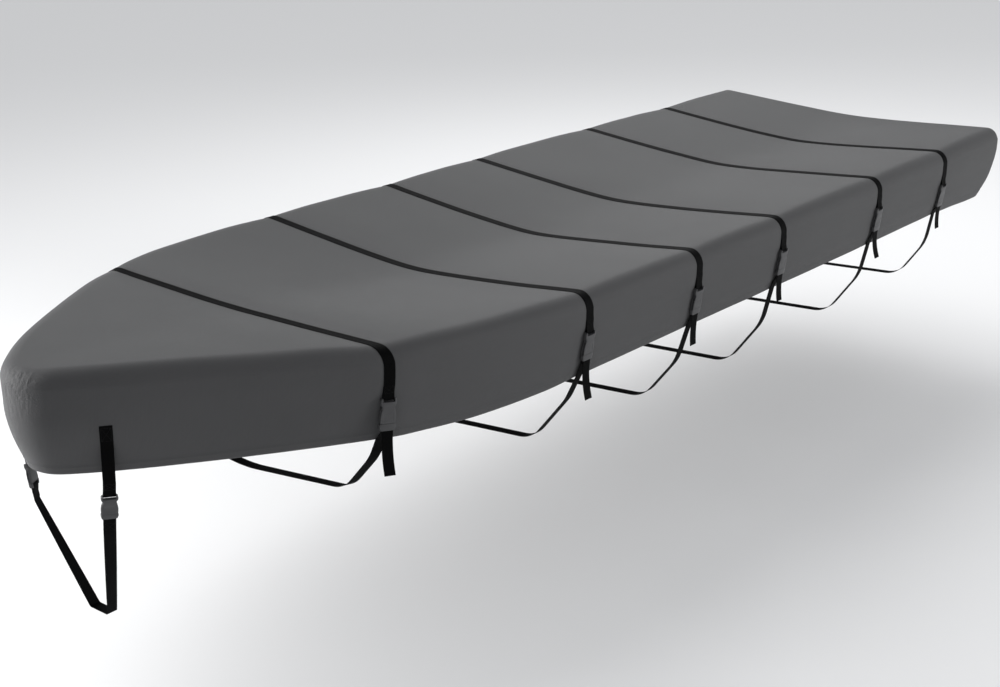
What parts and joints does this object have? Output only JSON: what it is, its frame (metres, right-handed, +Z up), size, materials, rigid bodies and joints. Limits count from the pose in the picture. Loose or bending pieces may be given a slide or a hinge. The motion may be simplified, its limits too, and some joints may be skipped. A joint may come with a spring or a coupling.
{
  "type": "fitted boat cover",
  "caption": "Fitted cloth cover for a small open boat on a trailer, with girth straps under the hull and a bow tie-down, closed by side-release buckles.",
  "frame": {"origin": "on the underside of the cloth of the top, on the centreline near mid-length, where the top rests over the boat", "axes": "+X along the centreline towards the stern, +Y to starboard, +Z up"},
  "size_m": [5.033, 1.6018, 0.8765],
  "materials": {
    "cover_cloth": "matte coated polyester weave",
    "black_webbing": "flat woven webbing",
    "grey_plastic": "moulded, satin"
  },
  "bodies": {
    "root": {"cover": "cover_cloth", "strap_1": "black_webbing", "strap_2": "black_webbing", "strap_3": "black_webbing", "strap_4": "black_webbing", "strap_5": "black_webbing", "strap_6": "black_webbing", "strap_1_socket": "grey_plastic", "strap_2_socket": "grey_plastic", "strap_3_socket": "grey_plastic", "strap_4_socket": "grey_plastic", "strap_5_socket": "grey_plastic", "strap_6_socket": "grey_plastic", "strap_1_plug": "grey_plastic", "strap_2_plug": "grey_plastic", "strap_3_plug": "grey_plastic", "strap_4_plug": "grey_plastic", "strap_5_plug": "grey_plastic", "strap_6_plug": "grey_plastic", "bow_strap_port": "black_webbing", "bow_strap_starboard": "black_webbing", "bow_loop": "black_webbing", "bow_socket_port": "grey_plastic", "bow_socket_starboard": "grey_plastic", "bow_plug_port": "grey_plastic", "bow_plug_starboard": "grey_plastic"}
  },
  "joints": []
}
